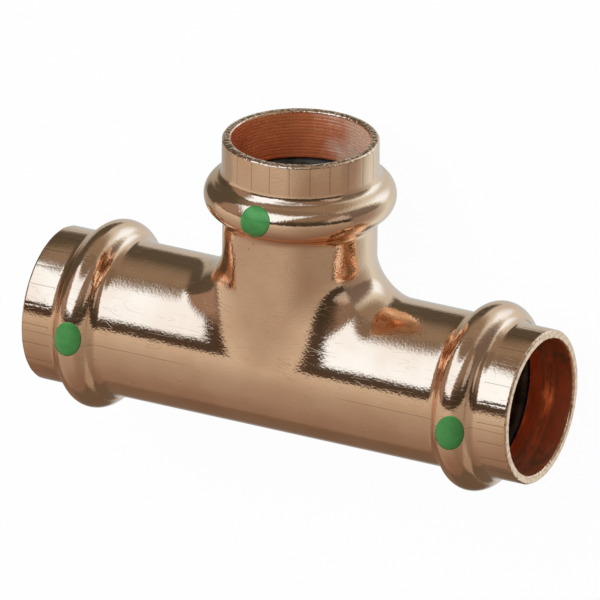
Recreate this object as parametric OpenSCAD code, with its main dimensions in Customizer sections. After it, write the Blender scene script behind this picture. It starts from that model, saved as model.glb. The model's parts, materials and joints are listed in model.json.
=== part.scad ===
// Equal press tee for copper tube, in millimetres.
// A formed copper body has three sockets of one size. Each socket has a rolled bead with a groove
// inside it, a rubber ring in the groove, and a dot of green paint on the bead.
// The tee lies on its three beads: the run goes along X, the branch points to +Y and Z is up.

/* [Socket] */
// Outside diameter of the tube that goes into each socket
tube_od = 22.225; // [18:0.005:28]
// Gap between the tube and the socket, on the radius
socket_clearance = 0.0875; // [0.05:0.0125:0.2]
// Wall of the collar
collar_wall = 1.5; // [1.2:0.05:2]
// Depth to which the tube goes in, from the mouth to the stop
insertion_depth = 22; // [19:0.25:30]
// Bevel that leads the tube into the mouth
lead_in = 0.2; // [0.05:0.05:0.5]
// Bevel on the outer edge of the rim
rim_break = 0.12; // [0.04:0.02:0.4]

/* [Bead] */
// Distance from the mouth to the middle of the bead
bead_setback = 9.7; // [8:0.1:11.5]
// Height of the bead above the collar
bead_height = 2.85; // [2.6:0.05:3.6]
// Radius of the bead's rounded top
bead_arch = 3.2; // [2.9:0.05:3.6]
// Radius of the hollow on either side of the bead
bead_root = 2; // [1.5:0.1:4]
// Wall of the bead at its top
bead_wall = 1.45; // [1.3:0.05:1.6]

/* [Body] */
// Height of the run's wall above the collar
run_swell = 0.05; // [0:0.01:0.3]
// Depth of the branch's wall below the collar
branch_neck = 0.2; // [0.05:0.05:0.4]
// Wall of the run between its stops
run_wall = 2.25; // [2:0.05:2.8]
// Wall of the branch below its stop
branch_wall = 2.1; // [1.8:0.05:2.6]
// Length from the branch's wall to each stop in the run
run_stop_out = 9.75; // [7:0.25:30]
// Height from the run's wall to the stop in the branch
branch_stop_rise = 3.1; // [2.9:0.05:12]
// Radius of the hollow in the two crotches, where the branch leaves the run
crotch_radius = 5.9; // [4:0.1:6.1]
// Radius of the hollow on the two cheeks, where the branch and the run are almost in line
cheek_radius = 22; // [8:0.5:30]

/* [Seal] */
// Thickness of the ring's round cord
seal_cord = 3; // [2.6:0.05:3.1]
// Room between the cord and the groove
seal_clearance = 0.05; // [0.02:0.01:0.12]

/* [Paint marks] */
// Width of a mark
mark_d = 5.2; // [3:0.1:5.6]
// Thickness of the paint
mark_thickness = 0.05; // [0.03:0.01:0.15]
// Turn of the left mark towards the branch, in degrees
mark_left_turn = 5; // [-20:0.5:20]
// Turn of the right mark towards the branch, in degrees
mark_right_turn = -1.5; // [-20:0.5:20]

/* [Hidden] */
$fn = 96;
// Steps along each rounded stretch of a profile
root_steps = 6;
arch_steps = 18;
// Steps around and across the hollow at the foot of the branch
foot_turns = 48;
foot_steps = 8;
// How far the edges of that hollow reach into the walls
foot_sink = 0.05;
// Overlap of a cut past the face it opens
past = 1;
bore_r = tube_od/2 + socket_clearance;
collar_r = bore_r + collar_wall;
run_r = collar_r + run_swell;
branch_r = collar_r - branch_neck;
run_way_r = run_r - run_wall;
branch_way_r = branch_r - branch_wall;
wall_between = (run_wall + branch_wall)/2;
run_reach = branch_r + run_stop_out + insertion_depth;
branch_reach = run_r + branch_stop_rise + insertion_depth;
bead_r = collar_r + bead_height;
bead_mid_r = bead_r - bead_arch;
groove_half = seal_cord/2 + seal_clearance;
groove_mid_r = bead_r - bead_wall - groove_half;
run_bead_at = run_reach - bead_setback;
branch_bead_at = branch_reach - bead_setback;
// Middle of the tee's box on Y, which sits at the origin
middle_y = (branch_reach - bead_r)/2;

tee_body();
run_seal_left();
run_seal_right();
branch_seal();
mark_left();
mark_right();
mark_branch();

// Points along an arc about c, from angle a to angle b
function arc(c, r, a, b, steps) = [for (i = [0:steps]) c + r*[cos(a + (b - a)*i/steps), sin(a + (b - a)*i/steps)]];

// The same profile for the other end of the run
function other_end(path) = [for (i = [len(path) - 1:-1:0]) [path[i][0], -path[i][1]]];

// Distance along the axis from the bead's middle to the start of its root on a wall of radius r
function root_out(r) = sqrt(pow(bead_arch + bead_root, 2) - pow(r + bead_root - bead_mid_r, 2));

// Angle on the bead's top where it meets the root on a wall of radius r
function arch_end(r) = atan2(root_out(r), r + bead_root - bead_mid_r);

// Rounded top of a bead at height h on a wall of radius r, raised by lift
function arch_path(h, r, lift) = arc([bead_mid_r, h], bead_arch + lift, -arch_end(r), arch_end(collar_r), arch_steps);

// Outside of an arm from its wall of radius r over the bead to the rim, as [radius, distance]
function outer_path(reach, r) =
  let (h = reach - bead_setback)
  concat(
    arc([r + bead_root, h - root_out(r)], bead_root, 180, 180 - arch_end(r), root_steps),
    arch_path(h, r, 0),
    arc([collar_r + bead_root, h + root_out(collar_r)], bead_root, arch_end(collar_r) - 180, -180, root_steps),
    [[collar_r, reach - rim_break], [collar_r - rim_break, reach]]);

// Inside of an arm from the stop over the groove to the mouth
function inner_path(reach, way_r) =
  let (h = reach - bead_setback)
  concat(
    [[way_r, reach - insertion_depth], [bore_r, reach - insertion_depth], [bore_r, h - groove_half]],
    arc([groove_mid_r, h], groove_half, -90, 90, arch_steps),
    [[bore_r, h + groove_half], [bore_r, reach - lead_in], [bore_r + lead_in, reach], [bore_r + lead_in, reach + past]]);

// Direction that lies between a and b at part t of the turn
function between(a, b, t) = let (w = acos(a*b)) (sin((1 - t)*w)*a + sin(t*w)*b)/sin(w);

// Radius of the ball that rolls around the foot of the branch, at angle a from the crotch. It grows
// from the crotches to the cheeks. It is larger by inset for the inside of the wall.
function ball_size(a, inset) = crotch_radius + (cheek_radius - crotch_radius)*pow(abs(sin(a)), 3) + inset;

// One row of the hollow at the foot of the branch. The ball touches the run's wall of radius run and
// the branch's wall of radius branch. The row starts with a point inside both walls and goes over the
// ball from one wall to the other.
function foot_row(run, branch, inset, a) =
  let (
    r = ball_size(a, inset),
    z = (branch + r)*sin(a),
    ball = [(branch + r)*cos(a), sqrt(pow(run + r, 2) - z*z), z],
    to_run = -[0, ball[1], ball[2]]/(run + r),
    to_branch = -[ball[0], 0, ball[2]]/(branch + r),
    deep = branch - past)
  concat(
    [[deep*cos(a), sqrt(pow(run - past, 2) - pow(deep*sin(a), 2)), deep*sin(a)]],
    [for (i = [0:foot_steps]) ball + (r + foot_sink)*between(to_run, to_branch, i/foot_steps)]);

// Ring of material, or of space, between the rolling ball and the two walls
module branch_foot(run, branch, inset) {
  n = foot_steps + 2;
  rows = [for (i = [0:foot_turns - 1]) foot_row(run, branch, inset, 360*i/foot_turns)];
  points = [for (row = rows) each row];
  faces = [
    for (i = [0:foot_turns - 1], j = [0:n - 1])
      let (k = (i + 1)%foot_turns, m = (j + 1)%n)
      each [[i*n + j, k*n + m, i*n + m], [i*n + j, k*n + j, k*n + m]]];
  polyhedron(points, faces);
}

// Places for the run, the branch and the whole tee
module along_run() {
  rotate([0, 90, 0]) children();
}

module along_branch() {
  rotate([-90, 0, 0]) children();
}

module lie_down() {
  translate([0, -middle_y, bead_r]) children();
}

// Solid of the tee without its passages
module tee_outside() {
  run_side = outer_path(run_reach, run_r);
  branch_side = outer_path(branch_reach, branch_r);
  along_run()
    rotate_extrude()
      polygon(concat([[0, -run_reach]], other_end(run_side), run_side, [[0, run_reach]]));
  along_branch()
    rotate_extrude()
      polygon(concat([[0, 0], [branch_r, 0]], branch_side, [[0, branch_reach]]));
  branch_foot(run_r, branch_r, 0);
}

// Passages with their stops, sockets and grooves
module tee_inside() {
  run_side = inner_path(run_reach, run_way_r);
  branch_side = inner_path(branch_reach, branch_way_r);
  along_run()
    rotate_extrude()
      polygon(concat([[0, -run_reach - past]], other_end(run_side), run_side, [[0, run_reach + past]]));
  along_branch()
    rotate_extrude()
      polygon(concat([[0, 0], [branch_way_r, 0]], branch_side, [[0, branch_reach + past]]));
  branch_foot(run_way_r, branch_way_r, wall_between);
}

// Copper body, formed from one piece of tube with the branch drawn out of its side
module tee_body() {
  color("peru")
    lie_down()
      difference() {
        union() tee_outside();
        tee_inside();
      }
}

// Rubber ring with a round cord
module seal_ring() {
  rotate_extrude()
    translate([groove_mid_r, 0])
      circle(d = seal_cord);
}

module run_seal_left() {
  color("dimgray")
    lie_down()
      along_run()
        translate([0, 0, -run_bead_at])
          seal_ring();
}

module run_seal_right() {
  color("dimgray")
    lie_down()
      along_run()
        translate([0, 0, run_bead_at])
          seal_ring();
}

module branch_seal() {
  color("dimgray")
    lie_down()
      along_branch()
        translate([0, 0, branch_bead_at])
          seal_ring();
}

// Skin of paint over a bead on a wall of radius r, with the bead's middle at the origin
module paint_skin(r) {
  top = arch_path(0, r, mark_thickness);
  foot = arch_path(0, r, 0);
  rotate_extrude()
    polygon(concat(top, [for (i = [len(foot) - 1:-1:0]) foot[i]]));
}

// Round pad that the paint is put on with, standing on Z
module paint_pad() {
  cylinder(d = mark_d, h = bead_r + past);
}

module mark_left() {
  color("seagreen")
    lie_down()
      translate([-run_bead_at, 0, 0])
        intersection() {
          mirror([1, 0, 0]) along_run() paint_skin(run_r);
          rotate([-mark_left_turn, 0, 0]) paint_pad();
        }
}

module mark_right() {
  color("seagreen")
    lie_down()
      translate([run_bead_at, 0, 0])
        intersection() {
          along_run() paint_skin(run_r);
          rotate([-mark_right_turn, 0, 0]) paint_pad();
        }
}

module mark_branch() {
  color("seagreen")
    lie_down()
      translate([0, branch_bead_at, 0])
        intersection() {
          along_branch() paint_skin(branch_r);
          paint_pad();
        }
}
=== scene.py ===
import json
import math

import bmesh
import bpy
from mathutils import Matrix, Vector
from mathutils.bvhtree import BVHTree


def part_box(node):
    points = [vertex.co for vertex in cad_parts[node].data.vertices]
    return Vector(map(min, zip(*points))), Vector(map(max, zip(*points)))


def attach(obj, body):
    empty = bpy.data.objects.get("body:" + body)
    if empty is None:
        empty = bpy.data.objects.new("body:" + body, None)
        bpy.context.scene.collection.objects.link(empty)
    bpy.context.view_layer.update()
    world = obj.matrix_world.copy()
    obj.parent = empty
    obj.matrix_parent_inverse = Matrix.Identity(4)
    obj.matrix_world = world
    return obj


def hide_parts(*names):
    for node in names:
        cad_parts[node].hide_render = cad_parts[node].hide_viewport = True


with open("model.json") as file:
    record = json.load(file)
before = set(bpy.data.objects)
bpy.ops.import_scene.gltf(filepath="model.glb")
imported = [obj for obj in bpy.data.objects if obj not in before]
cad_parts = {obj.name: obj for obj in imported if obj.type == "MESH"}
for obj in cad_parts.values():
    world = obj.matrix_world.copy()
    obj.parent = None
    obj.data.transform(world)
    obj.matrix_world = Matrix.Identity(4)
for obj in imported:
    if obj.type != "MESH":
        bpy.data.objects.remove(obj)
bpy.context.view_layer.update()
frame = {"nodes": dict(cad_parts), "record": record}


# Copper body
# The tee is formed from one piece of copper tube. The branch is drawn out of the run's side, the three
# ends are opened to sockets, and a bead is rolled outwards near each mouth, with a groove inside it.
mm = 0.001
low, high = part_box("tee_body")
bead_r = (high.z - low.z)/2
crossing = Vector((0, low.y + bead_r, low.z + bead_r))
run_reach = high.x
branch_reach = high.y - crossing.y

sockets = {mount["name"]: mount for mount in frame["record"]["mounts"]}
socket_land = sockets["branch"]["dims"]["length_mm"]*mm
bore_r = sockets["branch"]["dims"]["r_mm"]*mm
run_stop = sockets["run_right"]["pos_m"][0] - socket_land/2
branch_stop = sockets["branch"]["pos_m"][1] - crossing.y - socket_land/2

seal_low, seal_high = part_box("branch_seal")
seal_cord = seal_high.y - seal_low.y
groove_mid_r = (seal_high.z - seal_low.z - seal_cord)/2
seal_clearance = 0.05*mm
groove_half = seal_cord/2 + seal_clearance
bead_setback = high.y - (seal_low.y + seal_high.y)/2

collar_thick = 1.5*mm
run_swell = 0.05*mm
branch_neck = 0.2*mm
run_thick = 2.25*mm
branch_thick = 2.1*mm
wall_between = (run_thick + branch_thick)/2
collar_r = bore_r + collar_thick
run_r = collar_r + run_swell
branch_r = collar_r - branch_neck
run_way_r = run_r - run_thick
branch_way_r = branch_r - branch_thick

crotch_r = 5.9*mm
cheek_r = 22*mm
arch_r = 3.2*mm
arch_mid_r = bead_r - arch_r
root_r = 2.0*mm
rim_round = 0.45*mm
lead_round = 0.35*mm
groove_round = 0.25*mm
steps_around = 144
near = 0.01*mm


def arc(centre, radius, start, end, steps):
    """Points (radius, distance) on a round stretch of a profile, between two angles in degrees."""
    turns = [math.radians(start + (end - start)*i/steps) for i in range(steps + 1)]
    return [(centre[0] + radius*math.cos(t), centre[1] + radius*math.sin(t)) for t in turns]


def bead_root(wall_r):
    """How far from the bead's middle its root starts on a wall, and the angle where it meets the arch."""
    rise = wall_r + root_r - arch_mid_r
    out = math.sqrt((arch_r + root_r)**2 - rise**2)
    return out, math.degrees(math.atan2(out, rise))


def socket_profile(reach, wall_r, stop):
    """From the wall over the bead and the collar to the mouth, then inside over the groove to the stop."""
    bead = reach - bead_setback
    wall_out, wall_turn = bead_root(wall_r)
    collar_out, collar_turn = bead_root(collar_r)
    return (
        arc((wall_r + root_r, bead - wall_out), root_r, 180, 180 - wall_turn, 10)
        + arc((arch_mid_r, bead), arch_r, -wall_turn, collar_turn, 30)
        + arc((collar_r + root_r, bead + collar_out), root_r, collar_turn - 180, -180, 10)
        + [(collar_r, reach - mark_length)]
        + arc((collar_r - rim_round, reach - rim_round), rim_round, 0, 90, 6)
        + arc((bore_r + lead_round, reach - lead_round), lead_round, 90, 180, 6)
        + arc((bore_r + groove_round, bead + groove_half + groove_round), groove_round, 180, 270, 5)
        + arc((groove_mid_r, bead), groove_half, 90, -90, 24)
        + arc((bore_r + groove_round, bead - groove_half - groove_round), groove_round, 90, 180, 5)
        + [(bore_r, stop)]
    )


def spin_socket(bm, profile, along, outward):
    """Turns a socket's profile all the way round its axis."""
    points = [bm.verts.new(along*distance + outward*radius) for radius, distance in profile]
    edges = [bm.edges.new(pair) for pair in zip(points, points[1:])]
    bmesh.ops.spin(
        bm, geom=points + edges, cent=(0, 0, 0), axis=along,
        angle=2*math.pi, steps=steps_around, use_merge=True,
    )


# Finishes of the copper, in the order of the body's material slots
drawn, waterway, turned_run, turned_branch, cut_rim = range(5)


def sheet(bm, place, steps_along, finish):
    """A grid that goes once round, with each point moved to its place on a wall."""
    grid = bmesh.ops.create_grid(bm, x_segments=steps_around, y_segments=steps_along, size=1)
    for point in grid["verts"]:
        point.co = place((point.co.x + 1)/2, (point.co.y + 1)/2)
        for face in point.link_faces:
            face.material_index = finish


def ball_size(turn, inset):
    """Radius of the ball that rolls round the branch's foot: small in the crotches, large on the cheeks."""
    return crotch_r + (cheek_r - crotch_r)*abs(math.sin(turn))**3 + inset


def run_wall(wall_r, side_r, inset, end):
    """Places on the run's right half, from the line where the rolling ball touches it out to its end."""
    cheek = ball_size(math.pi/2, inset)
    widest = math.asin((side_r + cheek)/(wall_r + cheek))

    def place(around, along):
        turn = (2*around - 0.5)*math.pi
        if turn <= math.pi/2:
            ball_r = ball_size(turn, inset)
            start = (side_r + ball_r)*math.cos(turn)
            start_turn = math.asin((side_r + ball_r)*math.sin(turn)/(wall_r + ball_r))
        else:
            start = 0
            start_turn = widest + (turn - math.pi/2)*(2 - 2*widest/math.pi)
        at = start_turn + (turn - start_turn)*along
        return Vector((start + (end - start)*along, wall_r*math.cos(at), wall_r*math.sin(at)))

    return place


def branch_wall(wall_r, side_r, inset, end):
    """Places from the run's wall over the rolling ball and up the branch's wall to its end."""

    def place(around, along):
        turn = 2*math.pi*around
        ball_r = ball_size(turn, inset)
        z = (side_r + ball_r)*math.sin(turn)
        ball = Vector(((side_r + ball_r)*math.cos(turn), math.sqrt((wall_r + ball_r)**2 - z*z), z))
        to_run = Vector((0, -ball.y, -ball.z)).normalized()
        to_branch = Vector((-ball.x, 0, -ball.z)).normalized()
        whole = to_run.angle(to_branch)
        if ball.y > end:
            used = whole - math.asin((ball.y - end)*math.sin(whole)/(-to_run.y*ball_r))
            straight = 0
        else:
            used = whole
            straight = end - ball.y
        length = (used*ball_r + straight)*along
        rolled = min(length/ball_r, used)
        out = (to_run*math.sin(whole - rolled) + to_branch*math.sin(rolled))/math.sin(whole)
        return ball + out*ball_r + Vector((0, max(length - used*ball_r, 0), 0))

    return place


def branch_step(passage):
    """Places on the flat step at the branch's stop, from its passage's end out to the socket's wall."""

    def place(around, along):
        turn = 2*math.pi*around
        edge = Vector((bore_r*math.cos(turn), branch_stop, bore_r*math.sin(turn)))
        return passage(around, 1).lerp(edge, along)

    return place


# Fine marks that the segments of the forming tool leave on each collar, from the rim towards the bead
mark_length = 4.9*mm
mark_width = 0.22*mm
mark_depth = 0.035*mm
mark_spacing = 15
mark_offset = 10
on_mark = 0.1
flat_depth = 0.03*mm


def turn_about(point, along):
    """Angle of a point round a socket's axis, in degrees, and its distance from that axis."""
    other = point.x if along.y else point.y
    return math.degrees(math.atan2(point.z, other)), math.hypot(point.z, other)


def off_mark(point, along):
    """How far a point is from the nearest mark, in degrees."""
    turn, _ = turn_about(point, along)
    return abs((turn - mark_offset + mark_spacing/2) % mark_spacing - mark_spacing/2)


def press_marks(bm, along, reach):
    """Splits the collar along each mark and presses its middle in, less and less near the bead."""
    lines = []
    for edge in bm.edges:
        ends = [v.co.dot(along) for v in edge.verts]
        on_collar = all(abs(turn_about(v.co, along)[1] - collar_r) < near/10 for v in edge.verts)
        long_enough = abs(ends[0] - ends[1]) > mark_length/2 and min(ends) > reach - mark_length - near
        if on_collar and long_enough and off_mark(edge.verts[0].co, along) < on_mark:
            lines.append(edge)
    cut = bmesh.ops.bevel(
        bm, geom=lines, offset=mark_width/2, offset_type="OFFSET", segments=2, profile=0.5,
        affect="EDGES", material=-1, clamp_overlap=True,
    )
    for point in cut["verts"]:
        part = (point.co.dot(along) - reach + mark_length)/mark_length
        if off_mark(point.co, along) < on_mark:
            inward = along*point.co.dot(along) - point.co
            point.co += inward.normalized()*mark_depth*min(max(3*part, 0), 1)
            # The middle of each mark is flagged for painted shade in the copper's colour
            point[mark_shade] = 1.0


def press_flats(bm, along, reach):
    """Flattens the collar a little between its marks, from the rim back to where they end."""
    for point in bm.verts:
        _, radius = turn_about(point.co, along)
        if radius > collar_r - rim_round and point.co.dot(along) > reach - mark_length + near:
            inward = along*point.co.dot(along) - point.co
            depth = flat_depth*math.sin(math.pi*off_mark(point.co, along)/mark_spacing)
            point.co += inward.normalized()*depth


to_right = Vector((1, 0, 0))
to_left = Vector((-1, 0, 0))
to_branch_mouth = Vector((0, 1, 0))
arms = (
    (to_right, run_reach, run_stop, turned_run),
    (to_left, run_reach, run_stop, turned_run),
    (to_branch_mouth, branch_reach, branch_stop, turned_branch),
)
run_root = run_reach - bead_setback - bead_root(run_r)[0]
branch_root = branch_reach - bead_setback - bead_root(branch_r)[0]

run_step = [(run_way_r, run_stop)]
branch_passage = branch_wall(run_way_r, branch_way_r, wall_between, branch_stop)

body = bmesh.new()
mark_shade = body.verts.layers.float.new("mark_shade")
sheet(body, run_wall(run_r, branch_r, 0, run_root), 16, drawn)
sheet(body, run_wall(run_way_r, branch_way_r, wall_between, run_stop), 10, waterway)
spin_socket(body, socket_profile(run_reach, run_r, run_stop) + run_step, to_right, to_branch_mouth)
bmesh.ops.mirror(body, geom=body.verts[:] + body.edges[:] + body.faces[:], axis="X", merge_dist=0.0001*mm)
sheet(body, branch_wall(run_r, branch_r, 0, branch_root), 36, drawn)
sheet(body, branch_passage, 20, waterway)
sheet(body, branch_step(branch_passage), 1, waterway)
spin_socket(body, socket_profile(branch_reach, branch_r, branch_stop), to_branch_mouth, to_right)
bmesh.ops.remove_doubles(body, verts=body.verts, dist=0.002*mm)

for along, reach, _, _ in arms:
    press_marks(body, along, reach)
    press_flats(body, along, reach)

bmesh.ops.recalc_face_normals(body, faces=body.faces)


def face_finish(face, along, reach, stop, turned):
    """Finish of a face: cut on a socket's rim, turned inside it, a passage's on its stop, or as it was."""
    centre = face.calc_center_median()
    distance = centre.dot(along)
    outward = centre - along*distance
    inside = face.normal.dot(outward) < 0
    if distance > reach - lead_round:
        return cut_rim
    if distance > stop + near and inside:
        return turned
    if distance > stop - near and outward.length < bore_r:
        return waterway
    return face.material_index


for face in body.faces:
    face.smooth = True
    for along, reach, stop, turned in arms:
        face.material_index = face_finish(face, along, reach, stop, turned)

sharp_from = math.radians(30)
for edge in body.edges:
    edge.smooth = len(edge.link_faces) == 2 and edge.calc_face_angle() < sharp_from


# Painted shade, here and there, in the narrow hollow between each bead and its collar: this marks where it
# goes
crease_at = 3.5*mm
crease_half = 0.6*mm
crease_shade = body.verts.layers.float.new("crease_shade")
for point in body.verts:
    for along, reach, _, _ in arms:
        _, radius = turn_about(point.co, along)
        off_bead = point.co.dot(along) - reach + bead_setback
        if radius > branch_r - near and abs(off_bead - crease_at) < crease_half:
            shade = 1 - abs(off_bead - crease_at)/crease_half
            point[crease_shade] = max(shade, point[crease_shade])

bmesh.ops.translate(body, verts=body.verts, vec=crossing)
copper_skin = BVHTree.FromBMesh(body)


def as_piece(bm, name, node, finishes):
    """Makes a mesh into a piece that stands for a node of the frame and rides on its body."""
    mesh = bpy.data.meshes.new(name)
    bm.to_mesh(mesh)
    bm.free()
    piece = bpy.data.objects.new(name, mesh)
    bpy.context.scene.collection.objects.link(piece)
    for finish in finishes:
        mesh.materials.append(finish)
    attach(piece, "root")
    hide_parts(node)


class Wire:
    """A value in a material. Sums on it add Math nodes, and node() adds any other node."""

    def __init__(self, tree, socket=None):
        self.tree = tree
        self.socket = socket

    def node(self, kind, settings, values, output=0):
        made = self.tree.nodes.new(kind)
        for name, setting in settings.items():
            if name == "stops":
                set_stops(made.color_ramp.elements, setting)
            else:
                setattr(made, name, setting)
        for name, value in values.items():
            if isinstance(value, Wire):
                self.tree.links.new(value.socket, made.inputs[name])
            else:
                made.inputs[name].default_value = value
        return Wire(self.tree, made.outputs[output])

    def into(self, socket):
        self.tree.links.new(self.socket, socket)

    def math(self, operation, *values):
        return self.node("ShaderNodeMath", {"operation": operation}, dict(enumerate(values)))

    def __add__(self, other):
        return self.math("ADD", self, other)

    def __sub__(self, other):
        return self.math("SUBTRACT", self, other)

    def __rsub__(self, other):
        return self.math("SUBTRACT", other, self)

    def __mul__(self, other):
        return self.math("MULTIPLY", self, other)

    def __abs__(self):
        return self.math("ABSOLUTE", self)

    __radd__ = __add__
    __rmul__ = __mul__

    def step(self, start, end):
        """Goes smoothly from 0 to 1 as the value goes from start to end."""
        values = {"Value": self, "From Min": start, "From Max": end}
        return self.node("ShaderNodeMapRange", {"interpolation_type": "SMOOTHSTEP"}, values)

    def noise(self, scale, detail=2.0, stretch=(1, 1, 1), turn=(0, 0, 0)):
        """Cloudy pattern over a place in millimetres, stretched along its axes."""
        laid = self.node("ShaderNodeMapping", {}, {"Vector": self, "Scale": stretch, "Rotation": turn})
        return self.node("ShaderNodeTexNoise", {}, {"Vector": laid, "Scale": scale, "Detail": detail})

    def mix(self, first, second):
        """Colour between two colours, by this value."""
        values = {"Factor": self, 6: first, 7: second}
        return self.node("ShaderNodeMix", {"data_type": "RGBA"}, values, 2)


def set_stops(elements, stops):
    """Gives a ramp its stops, each a place and a colour."""
    while len(elements) < len(stops):
        elements.new(1.0)
    for element, (position, colour) in zip(elements, stops):
        element.position = position
        element.color = colour


def start_finish(name, constants):
    """A new material with its constant sockets set, its shader, and the place on the piece in mm."""
    material = bpy.data.materials.new(name)
    material.use_nodes = True
    shader = material.node_tree.nodes["Principled BSDF"]
    for socket, value in constants.items():
        shader.inputs[socket].default_value = value
    metres = Wire(material.node_tree).node("ShaderNodeTexCoord", {}, {}, "Object")
    place = metres.node("ShaderNodeVectorMath", {"operation": "SCALE"}, {0: metres, "Scale": 1000.0})
    return material, shader, place


copper_bright = (0.95, 0.60, 0.385, 1)
copper_dull = (0.88, 0.52, 0.32, 1)
# Dark copper for pits, scratches and the parting line, and for painted shade in the marks and in the
# hollows by the beads
copper_spot_and_shade = (0.30, 0.14, 0.07, 1)


def drawn_copper():
    """Polished copper tube with a fine grain, a parting line, small pits, handling scratches, and painted
    shade in its marks and in the hollows by its beads.
    """
    finish, shader, place = start_finish("drawn_copper", {"Metallic": 1.0})
    cloud = place.noise(0.11, 3.0)
    grain = place.noise(2.6, 1.5)
    lines = place.noise(1.0, 2.0, (0.06, 1.6, 1.6))
    pits = place.node("ShaderNodeTexVoronoi", {}, {"Vector": place, "Scale": 0.5})
    pit = 1 - (pits - place.noise(0.3, 1.0).step(0.5, 0.8)*0.08).step(0.0, 0.035)
    scratch = 0
    for turn in (0.7, 2.0):
        strand = abs(place.noise(0.9, 0.0, (0.15, 1.0, 1.0), (0.0, 0.4, turn)) - 0.5)
        handled = place.noise(0.3, 0.0, (1, 1, 1), (turn, 0.0, 0.0)).step(0.52, 0.62)
        scratch = scratch + (1 - strand.step(0.0, 0.005))*handled
    along = place.node("ShaderNodeSeparateXYZ", {}, {"Vector": place}, "X")
    across = place.node("ShaderNodeSeparateXYZ", {}, {"Vector": place}, "Y")
    seam = 1 - abs(across + cloud*0.3 - crossing.y/mm - 0.15).step(0.04, 0.12)
    seam = seam*abs(along).step(12.0, 17.0)
    # Painted shade along the middle of each tool mark
    mark = place.node("ShaderNodeAttribute", {"attribute_name": "mark_shade"}, {}, "Fac")
    crease = place.node("ShaderNodeAttribute", {"attribute_name": "crease_shade"}, {}, "Fac")
    # Patches of painted shade in the hollow by each bead. The same patches are also rougher and a little
    # raised
    hollow_shade_patches = (crease + place.noise(0.22, 2.0)*3.0 - 2.4).step(0.0, 0.4)
    tone = cloud.step(0.35, 0.7).mix(copper_bright, copper_dull)
    dirt_and_shade = pit*0.65 + scratch*0.3 + seam*0.4 + mark*0.7 + hollow_shade_patches*0.6
    dirt_and_shade.math("MINIMUM", dirt_and_shade, 1.0).mix(tone, copper_spot_and_shade).into(shader.inputs["Base Color"])
    (0.05 + lines*0.03 + cloud*0.03 + pit*0.2 + hollow_shade_patches*0.25).into(shader.inputs["Roughness"])
    height = place.noise(0.22, 2.0)*0.03 + grain*0.018 + seam*0.01 - scratch*0.005 - pit*0.015 + hollow_shade_patches*0.01
    bump = place.node("ShaderNodeBump", {}, {"Height": height, "Distance": mm})
    bump.into(shader.inputs["Normal"])
    return finish


def turned_copper(name, axis, tones, relief, painted_side_shade, metal, dullness):
    """Copper inside a socket, red from a thin film of oxide and from painted reflection, with rings where a
    tool has passed round.
    """
    finish, shader, place = start_finish(name, {"Metallic": metal})
    along = place.node("ShaderNodeSeparateXYZ", {}, {"Vector": place}, axis)
    across = place.node("ShaderNodeSeparateXYZ", {}, {"Vector": place}, "X")
    cloud = place.noise(0.2, 3.0)
    # By the given weight the tone also shifts across the wall, darker to the left and lighter to the right:
    # painted shade and painted highlight
    (cloud - across*painted_side_shade).step(0.2, 0.7).mix(*tones).into(shader.inputs["Base Color"])
    (dullness + cloud*0.1).into(shader.inputs["Roughness"])
    height = along.math("SINE", along*11.0)*relief["ridge"] + cloud*0.3
    for scale, detail, part in ((0.2, 0.0, "wave"), (16.0, 1.0, "scuff")):
        values = {"W": along, "Scale": scale, "Detail": detail}
        height = height + along.node("ShaderNodeTexNoise", {"noise_dimensions": "1D"}, values)*relief[part]
    bump = place.node("ShaderNodeBump", {}, {"Height": height, "Distance": mm})
    bump.into(shader.inputs["Normal"])
    return finish


def cut_copper():
    """Rim where the tube was cut off and its burr brushed away, bright and a little torn."""
    finish, shader, place = start_finish("cut_copper", {"Metallic": 1.0})
    torn = place.noise(1.2, 2.0)
    tears = torn.step(0.5, 0.62)
    tears.mix(copper_bright, copper_dull).into(shader.inputs["Base Color"])
    (0.05 + torn*0.08).into(shader.inputs["Roughness"])
    bump = place.node("ShaderNodeBump", {}, {"Height": torn*0.07 + tears*0.04, "Distance": mm})
    bump.into(shader.inputs["Normal"])
    return finish


# Inside, the copper is redder than the tube outside: partly its oxide film, partly painted reflection for
# light passed many times between the walls
run_tones = ((1.0, 0.44, 0.22, 1), (0.92, 0.35, 0.15, 1))
run_relief = {"ridge": 0.001, "wave": 1.6, "scuff": 0.005}
way_tones = ((0.85, 0.44, 0.25, 1), (0.70, 0.32, 0.16, 1))
way_relief = {"ridge": 0.0, "wave": 0.1, "scuff": 0.005}
# The branch's pale and deep tones mix at random, and its side shift puts the pale tone to the right as
# painted highlight and the deep tone to the left as painted shade
branch_tones = ((1.0, 0.70, 0.48, 1), (0.76, 0.24, 0.09, 1))
branch_relief = {"ridge": 0.01, "wave": 0.05, "scuff": 0.032}
finishes = [
    drawn_copper(),
    turned_copper("waterway", "X", way_tones, way_relief, painted_side_shade=0.0, metal=0.5, dullness=0.35),
    turned_copper("turned_run", "X", run_tones, run_relief, painted_side_shade=0.0, metal=0.8, dullness=0.10),
    turned_copper("turned_branch", "Y", branch_tones, branch_relief, painted_side_shade=0.05, metal=0.55, dullness=0.20),
    cut_copper(),
]
as_piece(body, "copper_tee", "tee_body", finishes)


# Rubber seals
# A round ring of black rubber lies in the groove inside each bead. It is moulded, and put in by hand with
# a little grease. It keeps the shape that it has in the frame.
rubber_tones = ((0.022, 0.02, 0.017, 1), (0.055, 0.049, 0.041, 1))
soft_gloss = {"Specular IOR Level": 0.3, "Specular Tint": (1.0, 0.72, 0.5, 1)}


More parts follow.
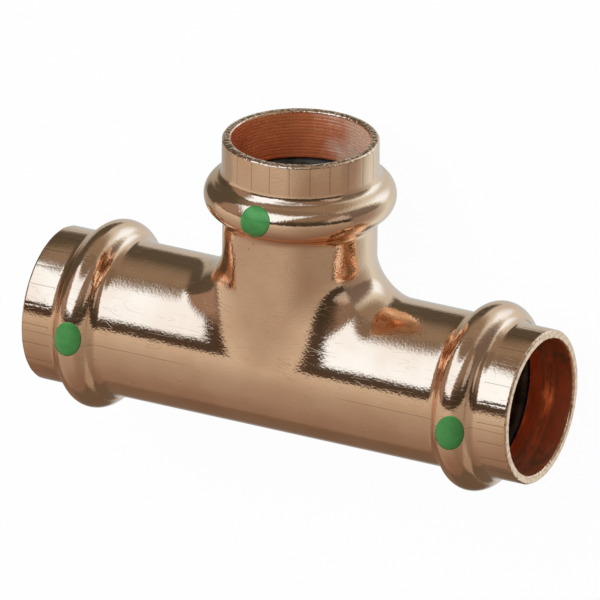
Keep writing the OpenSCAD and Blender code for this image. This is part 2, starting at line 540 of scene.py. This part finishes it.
def greased_rubber():
    """Black rubber with a thin uneven film of grease."""
    finish, shader, place = start_finish("greased_rubber", soft_gloss)
    film = place.noise(0.5, 3.0)
    film.step(0.3, 0.7).mix(*rubber_tones).into(shader.inputs["Base Color"])
    (0.18 + film*0.2).into(shader.inputs["Roughness"])
    bump = place.node("ShaderNodeBump", {}, {"Height": film*0.02, "Distance": mm})
    bump.into(shader.inputs["Normal"])
    return finish


rubber = greased_rubber()
for name in ("run_seal_left", "run_seal_right", "branch_seal"):
    ring = frame["nodes"][name]
    ring.data.materials.clear()
    ring.data.materials.append(rubber)


# Paint marks
# A dot of green lacquer on each bead tells which kind of seal is inside. A round pad stamps it onto the
# copper, and it dries to a film that is thinner at its edge.
paint_tones = ((0.06, 0.235, 0.06, 1), (0.076, 0.28, 0.07, 1))
paint_film = 0.05*mm
edge_thinning = 0.8
dot_rings = 12
dot_steps = 64


def green_paint():
    """Thin green lacquer that lets a little of the metal's shine through, uneven from the pad."""
    finish, shader, place = start_finish("green_paint", {"Metallic": 0.1, **soft_gloss})
    cover = place.noise(0.7, 3.0)
    cover.step(0.3, 0.7).mix(*paint_tones).into(shader.inputs["Base Color"])
    (0.15 + cover*0.15).into(shader.inputs["Roughness"])
    bump = place.node("ShaderNodeBump", {}, {"Height": cover*0.02, "Distance": mm})
    bump.into(shader.inputs["Normal"])
    return finish


def towards(turn, lift):
    """Direction that is turned from Z to X and lifted towards the branch, by angles in degrees."""
    flat = math.cos(math.radians(lift))
    across = flat*math.sin(math.radians(turn))
    onward = flat*math.cos(math.radians(turn))
    return Vector((across, math.sin(math.radians(lift)), onward))


pad_from = towards(28, 23)
pad_across = to_branch_mouth.cross(pad_from).normalized()
pad_along = pad_from.cross(pad_across)


def paint_dot(name, shift_across, shift_along, half_across, half_along):
    """A round film that the pad has pressed onto a bead, thinner at its edge."""
    lowest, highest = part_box(name)
    middle = (lowest + highest)/2 + pad_across*shift_across + pad_along*shift_along + pad_from*bead_r
    film = bmesh.new()
    spoke = [film.verts.new((ring/dot_rings, 0, 0)) for ring in range(dot_rings + 1)]
    edges = [film.edges.new(pair) for pair in zip(spoke, spoke[1:])]
    bmesh.ops.spin(
        film, geom=spoke + edges, cent=(0, 0, 0), axis=(0, 0, 1),
        angle=2*math.pi, steps=dot_steps, use_merge=True,
    )
    bmesh.ops.remove_doubles(film, verts=film.verts, dist=1e-6)
    for point in film.verts:
        thickness = paint_film*(1 - edge_thinning*point.co.length**6)
        held = middle + pad_across*point.co.x*half_across + pad_along*point.co.y*half_along
        place, normal, _, _ = copper_skin.ray_cast(held, -pad_from)
        point.co = place + normal*thickness
    bmesh.ops.recalc_face_normals(film, faces=film.faces)
    bmesh.ops.solidify(film, geom=film.faces[:], thickness=paint_film)
    for face in film.faces:
        face.smooth = True
    as_piece(film, "paint_" + name, name, [paint])


paint = green_paint()
paint_dot("mark_branch", -0.16*mm, 0.38*mm, 2.36*mm, 2.58*mm)
paint_dot("mark_left", 0.13*mm, -0.35*mm, 2.24*mm, 2.74*mm)
paint_dot("mark_right", 0.76*mm, -0.46*mm, 2.33*mm, 2.74*mm)


# Floor
# A plain white sheet that the tee lies on. It shows white, and keeps the soft shadow. Reflections pass
# through it, because the studio below has the sheet as the copper shows it.
floor_half = 20.0
floor_mesh = bpy.data.meshes.new("floor")
floor_shape = bmesh.new()
bmesh.ops.create_grid(floor_shape, x_segments=1, y_segments=1, size=floor_half)
floor_shape.to_mesh(floor_mesh)
floor_shape.free()
floor = bpy.data.objects.new("floor", floor_mesh)
bpy.context.scene.collection.objects.link(floor)

white_floor = bpy.data.materials.new("white_floor")
white_floor.use_nodes = True
floor_mesh.materials.append(white_floor)
floor_nodes = white_floor.node_tree.nodes
floor_nodes.clear()
on_floor = Wire(white_floor.node_tree)
seen = on_floor.node("ShaderNodeLightPath", {}, {}, "Is Camera Ray")
through = on_floor.node("ShaderNodeLightPath", {}, {}, "Is Transmission Ray")
mirrored = on_floor.node("ShaderNodeLightPath", {}, {}, "Is Glossy Ray")
shaded = on_floor.node("ShaderNodeLightPath", {}, {}, "Is Shadow Ray")
matt = on_floor.node("ShaderNodeBsdfDiffuse", {}, {"Color": (0.8, 0.8, 0.8, 1)})
glow = on_floor.node("ShaderNodeEmission", {}, {"Color": (1, 1, 1, 1), "Strength": 1.0})
clear = on_floor.node("ShaderNodeBsdfTransparent", {}, {})
white = on_floor.node("ShaderNodeMixShader", {}, {0: (seen + through)*0.97, 1: matt, 2: glow})
unseen = mirrored.math("MAXIMUM", mirrored, shaded)
shown = on_floor.node("ShaderNodeMixShader", {}, {0: unseen, 1: white, 2: clear})
end = floor_nodes.new("ShaderNodeOutputMaterial")
shown.into(end.inputs["Surface"])


# Studio light
# A large soft light hangs beyond the branch, to the left, and lights the tee evenly, but is hidden from
# reflections. The polished copper shows the studio held in the world: a bright face where this light
# hangs, the pale sheet, and the brown and dark parts of the room.
softbox = bpy.data.lights.new("softbox", "AREA")
softbox.shape = "RECTANGLE"
softbox.size = 0.99
softbox.size_y = 0.82
softbox.color = (1.0, 0.98, 0.95)
softbox.energy = 7.0
softbox_light = bpy.data.objects.new("softbox", softbox)
to_softbox = Vector((-0.27, 0.62, 0.70)).normalized()
facing = to_softbox.to_track_quat("Z", "Y").to_matrix().to_4x4()
softbox_light.matrix_world = Matrix.Translation(to_softbox) @ facing
softbox_light.visible_camera = False
softbox_light.visible_glossy = False
bpy.context.scene.collection.objects.link(softbox_light)

world = bpy.data.worlds.new("studio")
world.use_nodes = True
bpy.context.scene.world = world
sky = world.node_tree.nodes["Background"]
in_studio = Wire(world.node_tree)
direction = in_studio.node("ShaderNodeTexCoord", {}, {}, "Generated")
x, y, z = [in_studio.node("ShaderNodeSeparateXYZ", {}, {"Vector": direction}, axis) for axis in "XYZ"]


def shades(value, stops):
    """Colour that changes as a value goes from -1 to 1 past its stops."""
    ramp = {"stops": [((at + 1)/2, (*colour, 1)) for at, colour in stops]}
    return value.node("ShaderNodeValToRGB", ramp, {0: (value + 1)*0.5})


# Upper half of the room
room = shades(y, [
    (-1.00, (0.24, 0.18, 0.15)),
    (-0.75, (0.37, 0.33, 0.30)),
    (-0.45, (0.45, 0.44, 0.41)),
    (-0.15, (0.59, 0.61, 0.58)),
    (-0.03, (0.64, 0.68, 0.66)),
    (0.02, (0.08, 0.06, 0.05)),
    (0.18, (0.07, 0.065, 0.055)),
    (0.50, (0.27, 0.24, 0.21)),
    (1.00, (0.22, 0.21, 0.18)),
])
aside = x.step(0.0, 0.6)*(1 - y.step(-0.06, 0.0))
room = (aside*0.38).mix(room, (0.10, 0.05, 0.02, 1))
corner = x.step(0.05, 0.35)*y.step(-0.05, 0.0)*(1 - y.step(0.25, 0.6))
room = (corner*0.75).mix(room, (0.05, 0.05, 0.04, 1))
left_wall = (1 - x.step(-0.8, -0.62))*y.step(-0.05, 0.1)
room = left_wall.mix(room, (0.32, 0.27, 0.24, 1))
pane = x.step(0.76, 0.86)*y.step(0.2, 0.3)*(1 - y.step(0.6, 0.7))
room = (pane*0.55).mix(room, (0.8, 0.9, 1.0, 1))
face = x.step(-0.74, -0.6)*(y - x*1.3).step(0.2, 0.42)*y.step(0.20, 0.30)*(1 - y.step(0.78, 0.90))
room = face.mix(room, (1.05, 1.55, 2.2, 1))

# Lower half, where the sheet is
sheet_tone = shades(x, [
    (-1.00, (0.36, 0.36, 0.33)),
    (-0.65, (0.44, 0.50, 0.48)),
    (-0.35, (0.58, 0.67, 0.71)),
    (0.10, (0.63, 0.76, 0.84)),
    (0.48, (0.74, 0.92, 1.00)),
    (0.68, (0.50, 0.60, 0.66)),
    (0.85, (0.36, 0.34, 0.33)),
    (1.00, (0.26, 0.24, 0.23)),
])
window = x.step(0.02, 0.4)*(1 - x.step(0.5, 0.62))*y.step(0.05, 0.25)*(1 - y.step(0.5, 0.72))
sheet_tone = window.mix(sheet_tone, (1.0, 1.45, 2.0, 1))
far_left = (1 - x.step(-0.28, -0.12))*y.step(0.24, 0.40)
left_edge = (1 - x.step(-0.88, -0.76))*y.step(-0.2, -0.05)
dark = far_left.math("MAXIMUM", far_left, left_edge)
sheet_tone = dark.mix(sheet_tone, (0.10, 0.10, 0.085, 1))
far_right = x.step(0.58, 0.74)*y.step(0.1, 0.2)
sheet_tone = (far_right*0.85).mix(sheet_tone, (0.15, 0.145, 0.14, 1))
front = 1 - (y + x*0.08).step(-0.74, -0.62)
sheet_tone = front.mix(sheet_tone, (0.15, 0.13, 0.105, 1))
front_left = (1 - y.step(-0.5, -0.4))*(1 - x.step(-0.5, -0.35))
sheet_tone = front_left.mix(sheet_tone, (0.23, 0.17, 0.13, 1))
front_right = (1 - y.step(-0.68, -0.58))*x.step(0.5, 0.6)
sheet_tone = front_right.mix(sheet_tone, (0.38, 0.34, 0.29, 1))
sheet_tone = y.step(0.7, 0.92).mix(sheet_tone, (0.29, 0.275, 0.24, 1))

horizon = (1 - x.step(-0.7, -0.3))*y.step(0.0, 0.2)*0.16
studio = (z - horizon).step(-0.05, 0.05).mix(sheet_tone, room)
backdrop = in_studio.node("ShaderNodeLightPath", {}, {}, "Is Camera Ray")
backdrop.mix(studio, (1, 1, 1, 1)).into(sky.inputs["Color"])
sky.inputs["Strength"].default_value = 1.0


# Camera
# A long lens from in front of the tee, a little to its right and above it, as the tee stands on its run.
# It is far away, so the tee's lines hardly draw together.
azimuth = 28.0734
elevation = 22.891
roll = math.radians(0.5337)
distance = 3174.9*mm
shift_right = -0.198*mm
shift_up = -8.750*mm
focal_pixels = 19692.2
image_pixels = 600

back = towards(azimuth, elevation)
level = to_branch_mouth.cross(back).normalized()
upright = back.cross(level)
right = level*math.cos(roll) + upright*math.sin(roll)
up = upright*math.cos(roll) - level*math.sin(roll)
lens = bpy.data.cameras.new("camera")
lens.lens = focal_pixels*lens.sensor_width/image_pixels
camera = bpy.data.objects.new("camera", lens)
facing = Matrix((right, up, back)).transposed().to_4x4()
aim = crossing - right*shift_right - up*shift_up
camera.matrix_world = Matrix.Translation(aim + back*distance) @ facing
bpy.context.scene.collection.objects.link(camera)
bpy.context.scene.camera = camera
bpy.context.scene.view_settings.view_transform = "Standard"
